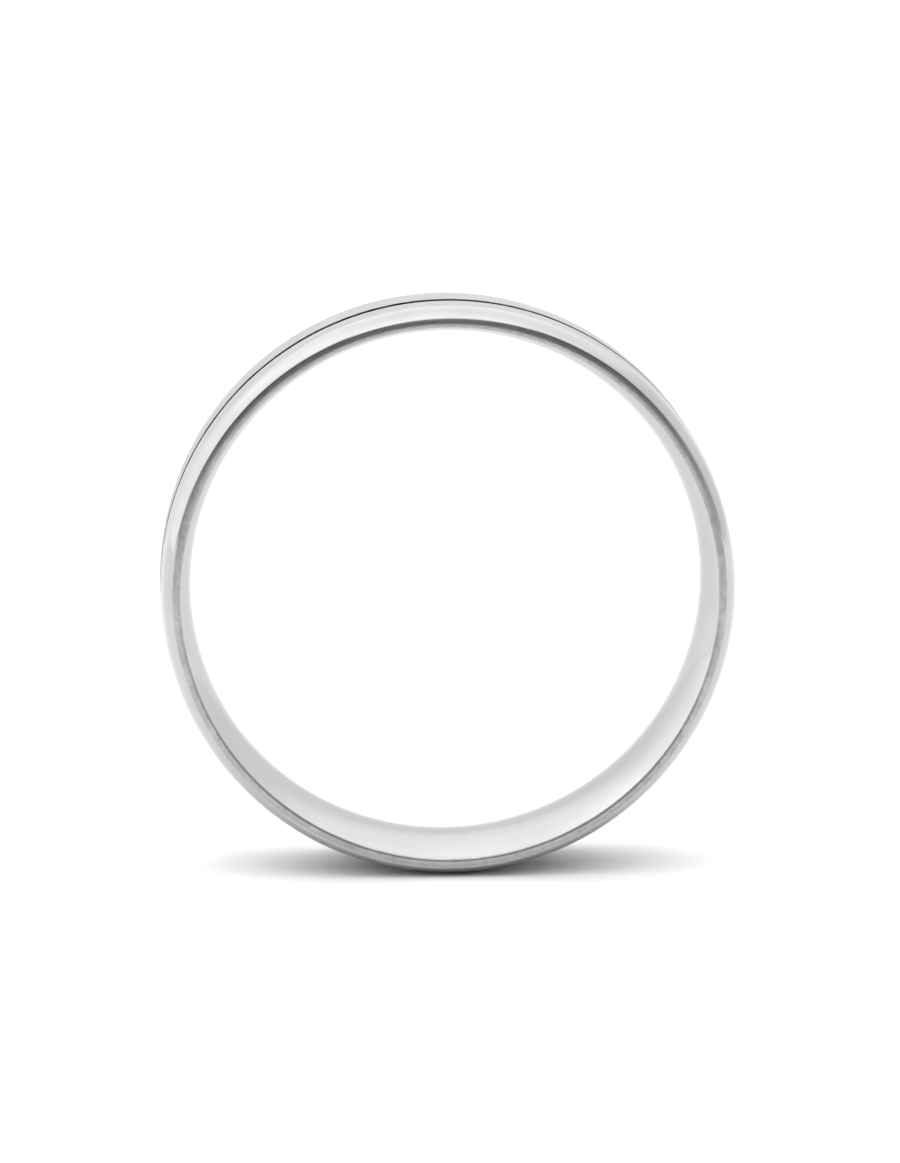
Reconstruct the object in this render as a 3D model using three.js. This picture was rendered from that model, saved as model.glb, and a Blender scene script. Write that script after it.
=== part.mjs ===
// A three-piece comfort-fit wedding band, in millimetres.
// The finger axis is Y, the front side face looks towards -Y, and the band stands on its edge with +Z up.
// The origin is the centre of the bore, halfway along the band's width.
//
// A domed sleeve touches the finger. Two outer rings are pressed onto it, one from each side, until they
// meet a narrow rib in the sleeve. The rib stops short of the outer surface, so a groove shows between
// the two rings. Both are satin beside the groove and polished on their shoulders.

import * as THREE from "three";

// Finger opening
const BORE_DIAMETER = 19.84; // at the crown of the dome, a US size 10
const DOME_RISE = 0.46; // how much further out the bore is at each side face
const DOME_POWER = 1.95; // 2 would be a parabola

// Across the finger
const BAND_WIDTH = 6.0;
const GROOVE_CENTRE = -0.53; // along Y, so the groove is nearer the front face
const GROOVE_WIDTH = 0.45;

// Wall, from the bore outwards
const SLEEVE_RIM = 0.06; // the sleeve's flat end, at each side face
const RING_RIM = 0.205; // each outer ring's flat end, at its side face
const CROWN_DROP = 0.45; // how far the outside falls from its crown to the side face
const GROOVE_DEPTH = 0.15;

// Rounding of the outside
const SHOULDER_LENGTH = 2.46; // from where the outside starts to fall, to the side face
const SHOULDER_POWER = 5.3; // high, so that the fall is nearly all in the last millimetre

// Fits, and the fineness of the curves
const PRESS_FIT_GAP = 0.02; // between the sleeve's seat and each ring's bore
const SHOULDER_FIT_GAP = 0.02; // between the rib's side and the ring that stops on it
const SEGMENTS = 72; // round the finger
const DOME_STEPS = 10; // along the bore
const SHOULDER_STEPS = 7; // along each shoulder

const halfWidth = BAND_WIDTH / 2;
const boreRadius = BORE_DIAMETER / 2;
const boreEdgeRadius = boreRadius + DOME_RISE;
const seatRadius = boreEdgeRadius + SLEEVE_RIM;
const ringBoreRadius = seatRadius + PRESS_FIT_GAP;
const faceOuterRadius = ringBoreRadius + RING_RIM;
const crownRadius = faceOuterRadius + CROWN_DROP;
const ribRadius = crownRadius - GROOVE_DEPTH;
const shoulderStart = halfWidth - SHOULDER_LENGTH;
const grooveFront = GROOVE_CENTRE - GROOVE_WIDTH / 2;
const grooveBack = GROOVE_CENTRE + GROOVE_WIDTH / 2;
const halfSide = Math.PI / SEGMENTS;
const cornerRatio = 1 / Math.cos(halfSide);

// The bore's radius at a place along the finger: smallest in the middle and widest at the side faces.
function boreRadiusAt(y) {
  return boreRadius + DOME_RISE * Math.abs(y / halfWidth) ** DOME_POWER;
}

// The outside's radius at a place along the finger: level in the middle, with a shoulder to each side face.
function outsideRadiusAt(y) {
  const along = Math.max(0, (Math.abs(y) - shoulderStart) / SHOULDER_LENGTH);
  return crownRadius - CROWN_DROP * along ** SHOULDER_POWER;
}

// A ring turned about Y. The outline is a list of (radius, place along Y), and its last point joins the first.
// Going up the outside and down the inside keeps the faces pointing out.
// The ring is many-sided. The middle of each side is at the true radius, so its corners are a little further out.
// It is turned by half a side, so that it stands on a side and not on a corner.
function turnedRing(name, outline, material) {
  const closed = [...outline, outline[0]].map((p) => point(p.x * cornerRatio, p.y));
  const mesh = new THREE.Mesh(new THREE.LatheGeometry(closed, SEGMENTS, halfSide), material);
  mesh.name = name;
  return mesh;
}

function point(radius, y) {
  return new THREE.Vector2(radius, y);
}

// The dome is sampled evenly, from the rear side face to the front one.
function domeOutline() {
  const places = Array.from({ length: DOME_STEPS + 1 }, (_, i) => halfWidth - (i * BAND_WIDTH) / DOME_STEPS);
  return places.map((y) => point(boreRadiusAt(y), y));
}

// A shoulder from the crown to a side face, with its steps closer together towards the face, where it bends.
// The side is -1 for the front and 1 for the back.
function shoulderOutline(side) {
  const outline = [];
  for (let i = 0; i <= SHOULDER_STEPS; i += 1) {
    const along = Math.sqrt(i / SHOULDER_STEPS);
    const y = side * (shoulderStart + SHOULDER_LENGTH * along);
    outline.push(point(outsideRadiusAt(y), y));
  }
  return outline;
}

function sleeve() {
  const outline = [
    point(seatRadius, -halfWidth),
    point(seatRadius, grooveFront),
    point(ribRadius, grooveFront),
    point(ribRadius, grooveBack),
    point(seatRadius, grooveBack),
    point(seatRadius, halfWidth),
    ...domeOutline(),
  ];
  const polished = new THREE.MeshStandardMaterial({ color: 0xdcdcdb, roughness: 0.08, metalness: 1 });
  return turnedRing("comfort_fit_sleeve", outline, polished);
}

function frontRing() {
  const stop = grooveFront - SHOULDER_FIT_GAP;
  const shoulder = shoulderOutline(-1).filter((p) => p.y < stop);
  const outline = [
    point(ringBoreRadius, -halfWidth),
    ...shoulder.reverse(),
    point(outsideRadiusAt(stop), stop),
    point(ringBoreRadius, stop),
  ];
  const satin = new THREE.MeshStandardMaterial({ color: 0xd8d8d6, roughness: 0.3, metalness: 1 });
  return turnedRing("front_outer_ring", outline, satin);
}

function rearRing() {
  const stop = grooveBack + SHOULDER_FIT_GAP;
  const shoulder = shoulderOutline(1).filter((p) => p.y > stop);
  const outline = [
    point(ringBoreRadius, stop),
    point(outsideRadiusAt(stop), stop),
    ...shoulder,
    point(ringBoreRadius, halfWidth),
  ];
  const satin = new THREE.MeshStandardMaterial({ color: 0xd8d8d6, roughness: 0.3, metalness: 1 });
  return turnedRing("rear_outer_ring", outline, satin);
}

const band = new THREE.Group();
band.name = "wedding_band";
band.add(sleeve(), frontRing(), rearRing());

export default band;
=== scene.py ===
"""Visual model of a three-piece comfort-fit wedding band in white precious metal.

The band stands on its edge on a pale floor, with the finger axis along Y and the front side face
towards -Y. A domed sleeve touches the finger. Two rings are pressed onto it from the front and the
back, and a narrow cut groove runs between them. The rings are satin in the middle of the band and
polished on their shoulders. All sizes are in metres.
"""

from __future__ import annotations

import logging
import math
from dataclasses import dataclass, field
from enum import Enum
from typing import Callable, Iterable, Sequence

import bmesh
import bpy
from mathutils import Euler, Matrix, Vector


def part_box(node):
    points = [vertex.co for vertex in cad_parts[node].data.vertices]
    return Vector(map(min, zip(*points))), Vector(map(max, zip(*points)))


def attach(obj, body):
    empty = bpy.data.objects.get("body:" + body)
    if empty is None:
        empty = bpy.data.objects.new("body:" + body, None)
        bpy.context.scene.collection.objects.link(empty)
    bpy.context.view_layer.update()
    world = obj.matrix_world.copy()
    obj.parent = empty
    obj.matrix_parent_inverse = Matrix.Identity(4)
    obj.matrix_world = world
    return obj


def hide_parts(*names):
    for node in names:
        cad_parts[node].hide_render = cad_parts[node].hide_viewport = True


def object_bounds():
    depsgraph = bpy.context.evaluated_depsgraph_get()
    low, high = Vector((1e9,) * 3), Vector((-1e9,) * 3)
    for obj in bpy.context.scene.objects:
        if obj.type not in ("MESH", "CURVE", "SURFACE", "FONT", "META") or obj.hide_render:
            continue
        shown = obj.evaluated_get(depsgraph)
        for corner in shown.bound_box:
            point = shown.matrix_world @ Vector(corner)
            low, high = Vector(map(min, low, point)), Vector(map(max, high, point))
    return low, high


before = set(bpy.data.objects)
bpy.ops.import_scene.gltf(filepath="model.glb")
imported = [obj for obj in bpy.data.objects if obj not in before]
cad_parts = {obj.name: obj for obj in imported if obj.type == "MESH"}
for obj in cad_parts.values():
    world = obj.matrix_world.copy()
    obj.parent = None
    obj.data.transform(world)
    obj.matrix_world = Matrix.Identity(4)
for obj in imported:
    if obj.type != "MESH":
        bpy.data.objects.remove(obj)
CAD_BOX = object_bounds()

log = logging.getLogger("wedding_band")

MM = 0.001
BODY = "root"

Outline = list[tuple[float, float]]
Circle = tuple[float, float]


class Side(Enum):
    """Which side face of the band an outer ring ends at, as the sign of its place along Y."""

    FRONT = -1
    REAR = 1


def linear(code: str) -> tuple[float, float, float, float]:
    """Turns an sRGB hex colour into linear RGBA.

    Args:
        code: The colour as six hex digits.

    Returns:
        The linear colour, opaque.
    """
    channels = [int(code[i : i + 2], 16) / 255 for i in (0, 2, 4)]
    toe, slope, offset, gamma = 0.04045, 12.92, 0.055, 2.4
    turned = [c / slope if c <= toe else ((c + offset) / (1 + offset)) ** gamma for c in channels]
    return (turned[0], turned[1], turned[2], 1.0)


def add_node(
    tree: bpy.types.NodeTree,
    kind: str,
    settings: dict[str, object] | None = None,
    inputs: dict[str | int, object] | None = None,
) -> bpy.types.Node:
    """Adds one node with its settings, its values and its links.

    Args:
        tree: The node tree that gets it.
        kind: The node's Blender type, without the leading words "ShaderNode".
        settings: Attributes of the node, by name.
        inputs: A value, or a socket to link from, for each input by name or number.

    Returns:
        The new node.
    """
    node = tree.nodes.new("ShaderNode" + kind)
    for name, value in (settings or {}).items():
        setattr(node, name, value)
    for name, value in (inputs or {}).items():
        if isinstance(value, bpy.types.NodeSocket):
            tree.links.new(value, node.inputs[name])
        else:
            node.inputs[name].default_value = value
    return node


# Measuring the CAD nodes


@dataclass(frozen=True)
class TurnedNode:
    """The radii and reach of one CAD node, read from its mesh, as a turner would with a gauge.

    The node is many-sided, and its radii are read at the middle of its sides, not at its corners.

    Args:
        name: The CAD node's name.
        tolerance: How far apart two measures may be and still count as the same.
    """

    name: str
    tolerance: float = 0.002 * MM

    def _circles(self) -> Iterable[Circle]:
        """Yields the circle that each vertex is on, as the radius of its sides and its place along Y."""
        found = [
            (math.hypot(vertex.co.x, vertex.co.z), vertex.co.y)
            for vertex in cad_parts[self.name].data.vertices
        ]
        side_to_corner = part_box(self.name)[1].z / max(radius for radius, _ in found)
        for radius, y in found:
            yield radius * side_to_corner, y

    def bore(self) -> float:
        """Returns the least radius of the node."""
        return min(radius for radius, _ in self._circles())

    def crown(self) -> float:
        """Returns the greatest radius of the node."""
        return max(radius for radius, _ in self._circles())

    def radii_at(self, y: float) -> tuple[float, float]:
        """Gives the inner and outer radius of an end face.

        Args:
            y: The face's place along the finger axis.

        Returns:
            The least and greatest radius there.
        """
        found = [radius for radius, place in self._circles() if abs(place - y) < self.tolerance]
        return min(found), max(found)

    def reach_of_crown(self) -> tuple[float, float]:
        """Gives where the node is at its greatest radius.

        Returns:
            The first and last place along the finger axis.
        """
        top = self.crown() - self.tolerance
        places = [y for radius, y in self._circles() if radius > top]
        return min(places), max(places)

    def span(self) -> tuple[float, float]:
        """Returns the first and last place of the node along the finger axis."""
        low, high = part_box(self.name)
        return low.y, high.y


# Shaping


@dataclass(frozen=True)
class RoundedEdge:
    """One turned edge that a polishing wheel has eased.

    Args:
        circle: The edge's radius and place along Y.
        size: How far the rounding reaches on either side.
        segments: How many facets it has.
    """

    circle: Circle
    size: float
    segments: int = 4


@dataclass
class Lathe:
    """Turns a closed outline about the finger axis, then eases its edges.

    Args:
        steps: How many facets go round the finger.
        weld: How near two points are when they are made one, where the turn closes.
        match: How near a point is to a circle when it counts as on it.
    """

    steps: int = 384
    weld: float = 1e-8
    match: float = 1e-7

    def turn(self, name: str, outline: Outline, edges: Sequence[RoundedEdge]) -> bpy.types.Object:
        """Makes a ring from its outline.

        Args:
            name: The new object's name.
            outline: The section's points, as radius and place along Y, in order.
            edges: The edges to round.

        Returns:
            The ring, at the origin, with outward faces and smooth shading.
        """
        mesh = bpy.data.meshes.new(name)
        work = bmesh.new()
        points = [work.verts.new((radius, y, 0.0)) for radius, y in outline]
        section = [work.edges.new(pair) for pair in zip(points, points[1:] + points[:1])]
        bmesh.ops.spin(
            work,
            geom=[*points, *section],
            cent=(0.0, 0.0, 0.0),
            axis=(0.0, 1.0, 0.0),
            angle=math.tau,
            steps=self.steps,
            use_merge=True,
        )
        bmesh.ops.remove_doubles(work, verts=work.verts, dist=self.weld)
        for edge in edges:
            self._ease(work, edge)
        bmesh.ops.recalc_face_normals(work, faces=work.faces)
        for face in work.faces:
            face.smooth = True
        work.to_mesh(mesh)
        work.free()
        ring = bpy.data.objects.new(name, mesh)
        bpy.context.scene.collection.objects.link(ring)
        return ring

    def _ease(self, work: bmesh.types.BMesh, edge: RoundedEdge) -> None:
        """Rounds every mesh edge that lies along one turned circle.

        Args:
            work: The ring's mesh.
            edge: The circle and the size of its rounding.
        """
        radius, y = edge.circle

        def on_circle(vertex: bmesh.types.BMVert) -> bool:
            """Tells whether a vertex lies on the circle."""
            away = abs(math.hypot(vertex.co.x, vertex.co.z) - radius) + abs(vertex.co.y - y)
            return away < self.match

        around = [e for e in work.edges if all(on_circle(v) for v in e.verts)]
        bmesh.ops.bevel(
            work,
            geom=around,
            offset=edge.size,
            offset_type="OFFSET",
            affect="EDGES",
            segments=edge.segments,
            profile=0.5,
            material=-1,
            clamp_overlap=True,
        )


# Finishes


class Run(Enum):
    """The way that a tool's marks run on a turned surface."""

    ROUND = "round the finger"
    SLANT_LEFT = "across the band, leaning left"
    SLANT_RIGHT = "across the band, leaning right"


@dataclass(frozen=True)
class Marks:
    """One layer of tool marks, as noise drawn out along the way the tool went.

    Args:
        run: The way that the marks run.
        spacing: The distance from one mark to the next, round the band or along the finger.
        drawn_out: How many times longer than its spacing a mark is.
        slant: The angle between a slanted mark and the finger axis, in degrees.
        radius: The radius of the surface that slanted marks are on.
        detail: How many times finer marks are laid over the coarse ones.
        harshness: How strongly the finer marks show.
    """

    run: Run
    spacing: float
    drawn_out: float = 30.0
    slant: float = 62.0
    radius: float = 11.1 * MM
    detail: float = 3.0
    harshness: float = 0.6

    def build(self, tree: bpy.types.NodeTree) -> bpy.types.NodeSocket:
        """Adds the layer to a material.

        Args:
            tree: The material's nodes.

        Returns:
            The marks' height, from 0 to 1.
        """
        place = add_node(tree, "TexCoord").outputs["Object"]
        short = 1.0 / self.drawn_out
        if self.run is Run.ROUND:
            squeeze = (short, 1.0, short)
        else:
            lean = 1.0 if self.run is Run.SLANT_RIGHT else -1.0
            twist = lean * math.tan(math.radians(self.slant)) / self.radius
            along = add_node(tree, "SeparateXYZ", {}, {"Vector": place}).outputs["Y"]
            angle = add_node(tree, "Math", {"operation": "MULTIPLY"}, {0: along, 1: twist})
            place = add_node(
                tree,
                "VectorRotate",
                {"rotation_type": "Y_AXIS"},
                {"Vector": place, "Angle": angle.outputs["Value"]},
            ).outputs["Vector"]
            squeeze = (1.0, short, 1.0)
        drawn = add_node(
            tree, "Mapping", {"vector_type": "POINT"}, {"Vector": place, "Scale": squeeze}
        ).outputs["Vector"]
        return add_node(
            tree,
            "TexNoise",
            {"noise_dimensions": "3D"},
            {
                "Vector": drawn,
                "Scale": 1.0 / self.spacing,
                "Detail": self.detail,
                "Roughness": self.harshness,
            },
        ).outputs["Fac"]


@dataclass(frozen=True)
class WorkedMetal:
    """White gold as one tool has left it: one or more layers of marks over slow clouding.

    Args:
        name: The metal and how its surface was made.
        light: The colour of its best-rubbed places.
        dark: The colour of its least-rubbed places.
        smooth: The roughness of its best-rubbed places.
        rough: The roughness of its least-rubbed places.
        marks: The layers of tool marks.
        depth: How deep the marks are.
        cloud: The size of the clouding that the buff or the brush leaves.
        cloud_detail: How many times finer clouds are laid over the large ones.
        cloud_harshness: How strongly the finer clouds show.
        speckle: How much of the variation is fine speckle the size of its marks, from 0 to 1.
        glancing: The tint of light that meets it at a glancing angle, which haze dulls.
        least: The variation at and below which a place is best rubbed.
        most: The variation at and above which a place is least rubbed.
    """

    name: str
    light: str
    dark: str
    smooth: float
    rough: float
    marks: tuple[Marks, ...]
    depth: float
    cloud: float = 2.5 * MM
    cloud_detail: float = 4.0
    cloud_harshness: float = 0.55
    speckle: float = 0.5
    glancing: str = "fafafa"
    least: float = 0.36
    most: float = 0.64

    def build(self) -> bpy.types.Material:
        """Makes the material, or gives the one already made.

        Returns:
            The material.
        """
        made = bpy.data.materials.get(self.name)
        if made is not None:
            return made
        material = bpy.data.materials.new(self.name)
        material.use_nodes = True
        tree = material.node_tree
        tree.nodes.clear()
        relief = self.marks[0].build(tree)
        for layer in self.marks[1:]:
            relief = add_node(
                tree, "Math", {"operation": "ADD"}, {0: relief, 1: layer.build(tree)}
            ).outputs["Value"]
        level = add_node(
            tree, "Math", {"operation": "DIVIDE"}, {0: relief, 1: float(len(self.marks))}
        ).outputs["Value"]
        place = add_node(tree, "TexCoord").outputs["Object"]
        haze = add_node(
            tree,
            "TexNoise",
            {"noise_dimensions": "3D"},
            {
                "Vector": place,
                "Scale": 1.0 / self.cloud,
                "Detail": self.cloud_detail,
                "Roughness": self.cloud_harshness,
            },
        ).outputs["Fac"]
        both = add_node(
            tree,
            "Mix",
            {"data_type": "FLOAT"},
            {"Factor": self.speckle, "A": haze, "B": level},
        ).outputs["Result"]
        wear = add_node(
            tree,
            "MapRange",
            {"clamp": True},
            {"Value": both, "From Min": self.least, "From Max": self.most},
        ).outputs["Result"]
        colour = add_node(
            tree,
            "Mix",
            {"data_type": "RGBA"},
            {"Factor": wear, 6: linear(self.light), 7: linear(self.dark)},
        ).outputs[2]
        roughness = add_node(
            tree,
            "MapRange",
            {"clamp": True},
            {"Value": wear, "To Min": self.smooth, "To Max": self.rough},
        ).outputs["Result"]
        bump = add_node(
            tree, "Bump", {}, {"Height": level, "Strength": 1.0, "Distance": self.depth}
        ).outputs["Normal"]
        shader = add_node(
            tree,
            "BsdfPrincipled",
            {},
            {
                "Base Color": colour,
                "Metallic": 1.0,
                "Roughness": roughness,
                "Specular Tint": linear(self.glancing),
                "Normal": bump,
            },
        )
        add_node(tree, "OutputMaterial", {}, {"Surface": shader.outputs["BSDF"]})
        return material


# Turned, then buffed on a felt wheel: crisp reflections, faintly drawn out round the finger by
# hairlines. Real hairlines are about 0.02 mm apart; they are drawn 0.07 mm apart so that they show.
BUFFED_SHOULDER = WorkedMetal(
    name="white_gold_buffed_on_felt",
    light="bebebe",
    dark="b4b4b4",
    smooth=0.05,
    rough=0.1,
    marks=(Marks(Run.ROUND, 0.07 * MM),),
    depth=0.0003 * MM,
    cloud=2.2 * MM,
    speckle=0.35,
)

# Bored and polished on a tapered felt: the smoothest surface, with slow clouding and a few lines
# left by the boring bar, drawn 0.12 mm apart.
BORED_SLEEVE = WorkedMetal(
    name="white_gold_bored_and_polished",
    light="cbcbcb",
    dark="c1c1c1",
    smooth=0.05,
    rough=0.13,
    marks=(Marks(Run.ROUND, 0.12 * MM, drawn_out=60.0),),
    depth=0.0003 * MM,
    cloud=3.5 * MM,
    speckle=0.3,
    glancing="d6d6d6",
)

# Lapped flat on fine grit, then dulled by handling: a soft, speckled face with no clear
# reflections. The speckle of about 0.03 mm is drawn at 0.12 mm.
LAPPED_FACE = WorkedMetal(
    name="white_gold_lapped_on_fine_grit",
    light="b2b2b2",
    dark="9b9b9b",
    smooth=0.26,
    rough=0.4,
    marks=(Marks(Run.ROUND, 0.12 * MM, drawn_out=2.5),),
    depth=0.0012 * MM,
    cloud=1.6 * MM,
    speckle=0.55,
)

# Brushed both ways with a fine abrasive pad: two crossing sets of scratches break up every
# reflection. Real scratches are 0.02 to 0.04 mm apart; they are drawn 0.1 mm apart.
BRUSHED_SATIN = WorkedMetal(
    name="white_gold_cross_brushed_satin",
    light="bbbbbb",
    dark="9d9d9d",
    smooth=0.26,
    rough=0.44,
    marks=(Marks(Run.SLANT_LEFT, 0.1 * MM, 14.0), Marks(Run.SLANT_RIGHT, 0.1 * MM, 14.0)),
    depth=0.0035 * MM,
    cloud=1.8 * MM,
    speckle=0.8,
)

# Cut with a graver. Its dark colour is painted shade, standing in for the shade in the groove's recess,
# with lighter chatter marks that lie aslant. The chatter is drawn 0.3 mm apart.
GROOVE_PAINTED_SHADE = WorkedMetal(
    name="white_gold_graver_cut_painted_shade",
    light="6a6a6a",
    dark="1c1c1c",
    smooth=0.35,
    rough=0.6,
    marks=(Marks(Run.SLANT_RIGHT, 0.3 * MM, 4.0, slant=25.0),),
    depth=0.012 * MM,
    cloud=0.9 * MM,
    speckle=0.6,
)


# Sub-assemblies


@dataclass(frozen=True)
class Dressing:
    """Which finish goes where on a turned piece.

    Args:
        finish: The finish.
        covers: Tells from a face's radius and place along Y whether the finish covers it.
    """

    finish: WorkedMetal
    covers: Callable[[float, float], bool]


def dress(piece: bpy.types.Object, dressings: Sequence[Dressing]) -> None:
    """Gives every face of a piece the first finish that covers it.

    Args:
        piece: The piece.
        dressings: The finishes, the one that covers all the rest coming last.
    """
    for dressing in dressings:
        piece.data.materials.append(dressing.finish.build())
    for face in piece.data.polygons:
        radius = math.hypot(face.center.x, face.center.z)
        face.material_index = next(
            i for i, dressing in enumerate(dressings) if dressing.covers(radius, face.center.y)
        )


@dataclass
class ComfortFitSleeve:
    """The domed ring that touches the finger, with the rib that parts the two outer rings.

    Its rim is level with the outer rings' side faces, and the finger side of the rim is eased so
    that it doesn't bite.

    Args:
        name: The piece's name.
        node: The CAD node that it stands for.
        slot: The material slot that it takes its finish from.
        dome_power: The curve of the bore from its middle to the side faces; 2 is a parabola.
        dome_steps: How many facets the bore has along the finger.
        finger_easing: The rounding of the rim's inner edge.
        easing_steps: How many facets that rounding has.
        joint_easing: The rounding of the edge at each joint.
        joint_filling: How far the seat is filled out towards the outer rings, to close the joint.
        rib_easing: The rounding of the rib's edges.
    """

    name: str = "comfort_fit_sleeve_turned"
    node: str = "comfort_fit_sleeve"
    slot: str = "polished_sleeve"
    dome_power: float = 1.95
    dome_steps: int = 40
    finger_easing: float = 0.066 * MM
    easing_steps: int = 8
    joint_easing: float = 0.004 * MM
    joint_filling: float = 0.012 * MM
    rib_easing: float = 0.01 * MM

    def build(self, lathe: Lathe) -> bpy.types.Object:
        """Turns the sleeve and dresses it.

        Args:
            lathe: The lathe that turns it.

        Returns:
            The finished sleeve.
        """
        gauge = TurnedNode(self.node)
        front, rear = gauge.span()
        bore, rib = gauge.bore(), gauge.crown()
        edge_radius, seat = gauge.radii_at(front)
        seat += self.joint_filling
        rib_front, rib_rear = gauge.reach_of_crown()
        half = (rear - front) / 2
        dome = [
            (bore + (edge_radius - bore) * abs(y / half) ** self.dome_power, y)
            for y in (rear - 2 * half * i / self.dome_steps for i in range(self.dome_steps + 1))
        ]
        outline = [
            (seat, front),
            (seat, rib_front),
            (rib, rib_front),
            (rib, rib_rear),
            (seat, rib_rear),
            (seat, rear),
            *dome,
        ]
        edges = [
            RoundedEdge((edge_radius, front), self.finger_easing, self.easing_steps),
            RoundedEdge((seat, front), self.joint_easing, 2),
            RoundedEdge((edge_radius, rear), self.finger_easing, self.easing_steps),
            RoundedEdge((seat, rear), self.joint_easing, 2),
            RoundedEdge((rib, rib_front), self.rib_easing, 2),
            RoundedEdge((rib, rib_rear), self.rib_easing, 2),
        ]
        sleeve = lathe.turn(self.name, outline, edges)
        rib_flank = (seat + rib) / 2
        dome_end = half - self.finger_easing
        dress(
            sleeve,
            [
                # The rib at the bottom of the groove gets painted shade: a dark colour for the shade in
                # the recess.
                Dressing(GROOVE_PAINTED_SHADE, lambda radius, y: radius > rib_flank),
                Dressing(LAPPED_FACE, lambda radius, y: abs(y) > dome_end),
                Dressing(BORED_SLEEVE, lambda radius, y: True),
            ],
        )
        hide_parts(self.node)
        return sleeve


@dataclass
class OuterRing:
    """A ring pressed onto the sleeve from one side, satin by the groove and polished outwards.

    Its side face is pillowed: level by the sleeve, then falling away towards the shoulder.

    Args:
        side: The side that it is pressed on from.
        name: The piece's name.
        node: The CAD node that it stands for.
        slot: The name of a material slot; not used.
        shoulder_length: From where the outside starts to fall, to the side face.
        shoulder_power: How late the fall comes.
        shoulder_steps: How many facets the shoulder has.
        crowding: Below 1, it brings the facets closer together towards the side face.
        satin_reach: How far from the middle of the band the satin runs.
        pillow_steps: How many facets the side face has from its inner to its outer edge.
        pillow_fall: How far the side face falls away at its outer edge.
        face_easing: The rounding of the side face's outer edge.
        joint_filling: How far the bore is filled in towards the sleeve, so that the joint closes.
        joint_easing: The rounding of the edge at the joint.
        mouth_flare: The rounding of the edge at the groove.
    """

    side: Side
    name: str
    node: str
    slot: str
    shoulder_length: float = 2.46 * MM
    shoulder_power: float = 5.3
    shoulder_steps: int = 44
    crowding: float = 0.6
    satin_reach: float = 2.05 * MM
    pillow_steps: int = 10
    pillow_fall: float = 0.045 * MM
    face_easing: float = 0.012 * MM
    joint_filling: float = 0.006 * MM
    joint_easing: float = 0.004 * MM
    mouth_flare: float = 0.04 * MM

    def build(self, lathe: Lathe) -> bpy.types.Object:
        """Turns the ring and dresses it.

        Args:
            lathe: The lathe that turns it.

        Returns:
            The finished ring.
        """
        gauge = TurnedNode(self.node)
        low, high = gauge.span()
        face, stop = (low, high) if self.side is Side.FRONT else (high, low)
        bore, crown = gauge.bore() - self.joint_filling, gauge.crown()
        _, face_radius = gauge.radii_at(face)
        sign = self.side.value
        start = abs(face) - self.shoulder_length

        def outside(y: float) -> float:
            """Gives the outside radius at a place along the finger axis."""
            along = max(0.0, (y * sign - start) / self.shoulder_length)
            return crown - (crown - face_radius) * along**self.shoulder_power

        brink = face - sign * self.pillow_fall
        pillow = [
            (bore + (face_radius - bore) * share, face - sign * self.pillow_fall * share**2)
            for share in (i / self.pillow_steps for i in range(self.pillow_steps, -1, -1))
        ]
        reach = max(start, stop * sign)
        shares = [(i / self.shoulder_steps) ** self.crowding for i in range(self.shoulder_steps)]
        distances = {reach + (abs(brink) - reach) * share for share in shares}
        distances.add(self.satin_reach)
        shoulder = [(outside(sign * d), sign * d) for d in sorted(distances) if d > stop * sign]
        outline = [(bore, stop), (outside(stop), stop), *shoulder, *pillow]
        edges = [
            RoundedEdge((face_radius, brink), self.face_easing, 3),
            RoundedEdge((bore, face), self.joint_easing, 2),
            RoundedEdge((outside(stop), stop), self.mouth_flare, 3),
        ]
        ring = lathe.turn(self.name, outline, edges)

        def on_face(radius: float, y: float) -> bool:
            """Tells whether a place is on the side face."""
            return y * sign > abs(brink) and radius < face_radius

        dress(
            ring,
            [
                # The mouth of the groove gets painted shade: a dark colour for the shade in the recess.
                Dressing(GROOVE_PAINTED_SHADE, lambda radius, y: abs(y - stop) < self.mouth_flare),
                Dressing(LAPPED_FACE, on_face),
                Dressing(BRUSHED_SATIN, lambda radius, y: y * sign < self.satin_reach),
                Dressing(BUFFED_SHOULDER, lambda radius, y: True),
            ],
        )
        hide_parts(self.node)
        return ring


# The studio


@dataclass
class StudioCamera:
    """A long lens, a little above the band and a little to its left.

    Args:
        azimuth: The angle about Z from looking along +Y, in degrees.
        elevation: The angle above level, in degrees.
        distance: How far it stands from its target.
        lens_mm: The focal length.
        sensor_mm: The sensor's long side.
        shift_x: A small shift of the picture sideways.
        shift_y: A small shift of the picture up or down.
        nearest: The distance at which it starts to see.
        furthest: The distance at which it stops seeing.
    """

    azimuth: float = -3.15
    elevation: float = 9.87
    distance: float = 233.2 * MM
    lens_mm: float = 185.7
    sensor_mm: float = 36.0
    shift_x: float = 0.0032
    shift_y: float = 0.0005
    nearest: float = 0.02
    furthest: float = 20.0

    def build(self, target: Vector) -> bpy.types.Object:
        """Makes the camera and gives it to the scene.

        Args:
            target: The point that it looks at.

        Returns:
            The camera.
        """
        data = bpy.data.cameras.new("studio_camera")
        data.lens = self.lens_mm
        data.sensor_width = self.sensor_mm
        data.shift_x = self.shift_x
        data.shift_y = self.shift_y
        data.clip_start = self.nearest
        data.clip_end = self.furthest
        camera = bpy.data.objects.new("studio_camera", data)
        turn, rise = math.radians(self.azimuth), math.radians(self.elevation)
        back = Vector(
            (math.sin(turn) * math.cos(rise), -math.cos(turn) * math.cos(rise), math.sin(rise))
        )
        camera.location = target + back * self.distance
        camera.rotation_euler = Euler((math.pi / 2 - rise, 0.0, turn))
        bpy.context.scene.collection.objects.link(camera)
        bpy.context.scene.camera = camera
        return camera


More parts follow.
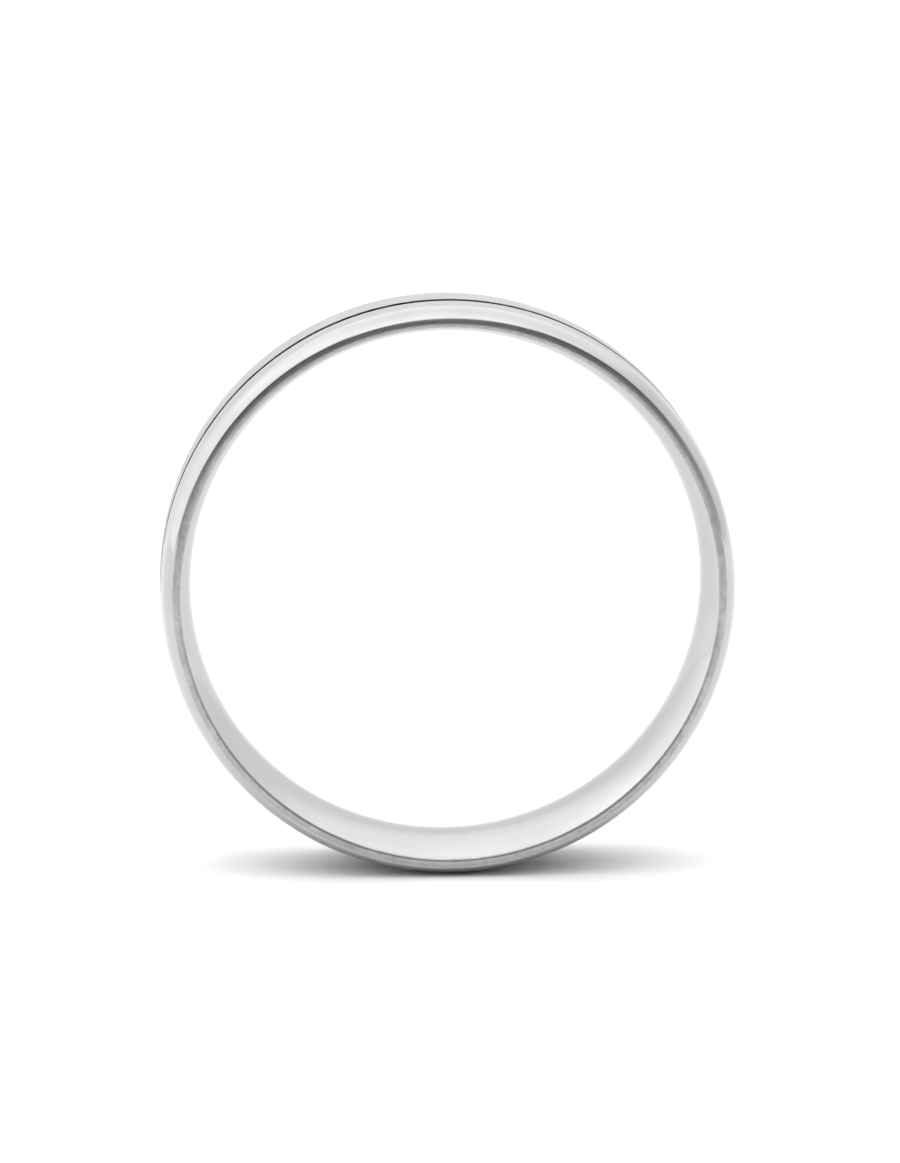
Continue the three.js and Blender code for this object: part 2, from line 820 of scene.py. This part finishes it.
@dataclass
class PaleFloor:
    """A matt pale floor at the band's lowest point.

    Args:
        colour: Its colour.
        half_width: How far it reaches from the band.
    """

    colour: str = "fafafa"
    half_width: float = 3.0

    def build(self, level: float) -> bpy.types.Object:
        """Lays the floor.

        Args:
            level: The height that it lies at.

        Returns:
            The floor.
        """
        mesh = bpy.data.meshes.new("floor")
        work = bmesh.new()
        bmesh.ops.create_grid(work, x_segments=1, y_segments=1, size=self.half_width)
        bmesh.ops.translate(work, verts=work.verts, vec=(0.0, 0.0, level))
        work.to_mesh(mesh)
        work.free()
        floor = bpy.data.objects.new("floor", mesh)
        material = bpy.data.materials.new("pale_matt_floor")
        material.use_nodes = True
        shader = material.node_tree.nodes["Principled BSDF"]
        shader.inputs["Base Color"].default_value = linear(self.colour)
        shader.inputs["Roughness"].default_value = 1.0
        shader.inputs["Specular IOR Level"].default_value = 0.0
        mesh.materials.append(material)
        bpy.context.scene.collection.objects.link(floor)
        return floor


def bearing(azimuth: float, elevation: float) -> Vector:
    """Gives a direction in the studio.

    Args:
        azimuth: The angle about Z from straight behind the band, right being 90, in degrees.
        elevation: The angle above level, in degrees.

    Returns:
        The direction, of length one.
    """
    turn, rise = math.radians(azimuth), math.radians(elevation)
    flat = math.cos(rise)
    return Vector((math.sin(turn) * flat, math.cos(turn) * flat, math.sin(rise)))


@dataclass(frozen=True)
class Patch:
    """A part of the room that is lighter or darker than the rest, with a soft edge.

    Args:
        azimuth: Where it is, as bearing() takes it.
        elevation: Where it is, as bearing() takes it.
        core: The angle from its middle within which it has its full effect, in degrees.
        edge: The angle from its middle at which it ends, in degrees.
        change: What it adds to the room's light.
    """

    azimuth: float
    elevation: float
    core: float
    edge: float
    change: float

    def build(
        self,
        tree: bpy.types.NodeTree,
        way: bpy.types.NodeSocket,
        light: bpy.types.NodeSocket | float,
    ) -> bpy.types.NodeSocket:
        """Adds the patch to the room's light.

        Args:
            tree: The world's nodes.
            way: The direction looked in.
            light: The light without the patch.

        Returns:
            The light with the patch.
        """
        facing = add_node(
            tree,
            "VectorMath",
            {"operation": "DOT_PRODUCT"},
            {0: way, 1: bearing(self.azimuth, self.elevation)},
        ).outputs["Value"]
        effect = add_node(
            tree,
            "MapRange",
            {"interpolation_type": "SMOOTHSTEP"},
            {
                "Value": facing,
                "From Min": math.cos(math.radians(self.edge)),
                "From Max": math.cos(math.radians(self.core)),
                "To Min": 0.0,
                "To Max": self.change,
            },
        ).outputs["Result"]
        return add_node(tree, "Math", {"operation": "ADD"}, {0: light, 1: effect}).outputs["Value"]


@dataclass(frozen=True)
class Softbox:
    """A large square lamp that faces the band.

    Args:
        name: What it is for.
        azimuth: Where it hangs, as bearing() takes it.
        elevation: Where it hangs, as bearing() takes it.
        watts: Its power.
        mirrored: Whether polished metal shows it.
        distance: How far from the band it hangs.
        side: The length of its side.
    """

    name: str
    azimuth: float
    elevation: float
    watts: float
    mirrored: bool
    distance: float = 2.5
    side: float = 1.75

    def build(self) -> bpy.types.Object:
        """Hangs the softbox.

        Returns:
            The lamp.
        """
        data = bpy.data.lights.new(self.name, "AREA")
        data.shape = "SQUARE"
        data.size = self.side
        data.energy = self.watts
        lamp = bpy.data.objects.new(self.name, data)
        away = bearing(self.azimuth, self.elevation)
        lamp.location = away * self.distance
        lamp.rotation_euler = away.to_track_quat("Z", "Y").to_euler()
        lamp.visible_glossy = self.mirrored
        bpy.context.scene.collection.objects.link(lamp)
        return lamp


@dataclass
class SoftStudio:
    """A pale room, lighter overhead and to the left, dim where the photographer stands.

    Of two softboxes above the camera, the upper one shows in the metal, and the lower one only lifts
    the floor to white.

    Args:
        room: The room's light, apart from its lighter and darker parts.
        dimmest: The least light from anywhere in the room.
        patches: The lighter and darker parts.
        softboxes: The lamps.
    """

    room: float = 1.27
    dimmest: float = 0.14
    patches: tuple[Patch, ...] = (
        Patch(azimuth=0, elevation=62, core=36, edge=52, change=0.29),
        Patch(azimuth=180, elevation=80, core=10, edge=45, change=0.23),
        Patch(azimuth=-75, elevation=20, core=15, edge=55, change=0.4),
        Patch(azimuth=75, elevation=20, core=15, edge=60, change=-0.12),
        Patch(azimuth=178, elevation=26, core=22, edge=50, change=-0.94),
        Patch(azimuth=140, elevation=12, core=14, edge=42, change=-0.58),
        Patch(azimuth=-145, elevation=12, core=14, edge=40, change=-0.8),
    )
    softboxes: tuple[Softbox, ...] = (
        Softbox("key_softbox", azimuth=178, elevation=64, watts=5.8, mirrored=True),
        Softbox("floor_softbox", azimuth=178, elevation=48, watts=11.5, mirrored=False),
    )

    def build(self) -> None:
        """Lights the scene."""
        world = bpy.data.worlds.new("pale_room")
        bpy.context.scene.world = world
        world.use_nodes = True
        tree = world.node_tree
        tree.nodes.clear()
        way = add_node(tree, "TexCoord").outputs["Generated"]
        light: bpy.types.NodeSocket | float = self.room
        for patch in self.patches:
            light = patch.build(tree, way, light)
        light = add_node(
            tree, "Math", {"operation": "MAXIMUM"}, {0: light, 1: self.dimmest}
        ).outputs["Value"]
        room = add_node(
            tree, "Background", {}, {"Color": (1.0, 1.0, 1.0, 1.0), "Strength": light}
        )
        add_node(tree, "OutputWorld", {}, {"Surface": room.outputs["Background"]})
        for softbox in self.softboxes:
            softbox.build()


@dataclass
class WeddingBand:
    """The whole band: the sleeve and the two rings pressed onto it.

    Args:
        lathe: The lathe that turns its pieces.
    """

    lathe: Lathe = field(default_factory=Lathe)

    def build(self) -> list[bpy.types.Object]:
        """Builds every piece and rides it on the band's one body.

        Returns:
            The pieces.
        """
        makers = [
            ComfortFitSleeve(),
            OuterRing(
                side=Side.FRONT,
                name="front_ring_pressed_on",
                node="front_outer_ring",
                slot="front_ring",
            ),
            OuterRing(
                side=Side.REAR,
                name="rear_ring_pressed_on",
                node="rear_outer_ring",
                slot="rear_ring",
            ),
        ]
        pieces = []
        for maker in makers:
            piece = maker.build(self.lathe)
            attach(piece, BODY)
            log.info("%s: %d faces", piece.name, len(piece.data.polygons))
            pieces.append(piece)
        return pieces


def main() -> None:
    """Builds the band, the floor, the light and the camera."""
    logging.basicConfig(level=logging.INFO, format="%(name)s: %(message)s")
    WeddingBand().build()
    low, high = CAD_BOX
    PaleFloor().build(low[2])
    SoftStudio().build()
    StudioCamera().build(Vector())
    bpy.context.scene.view_settings.view_transform = "Standard"


if __name__ == "__main__":
    main()
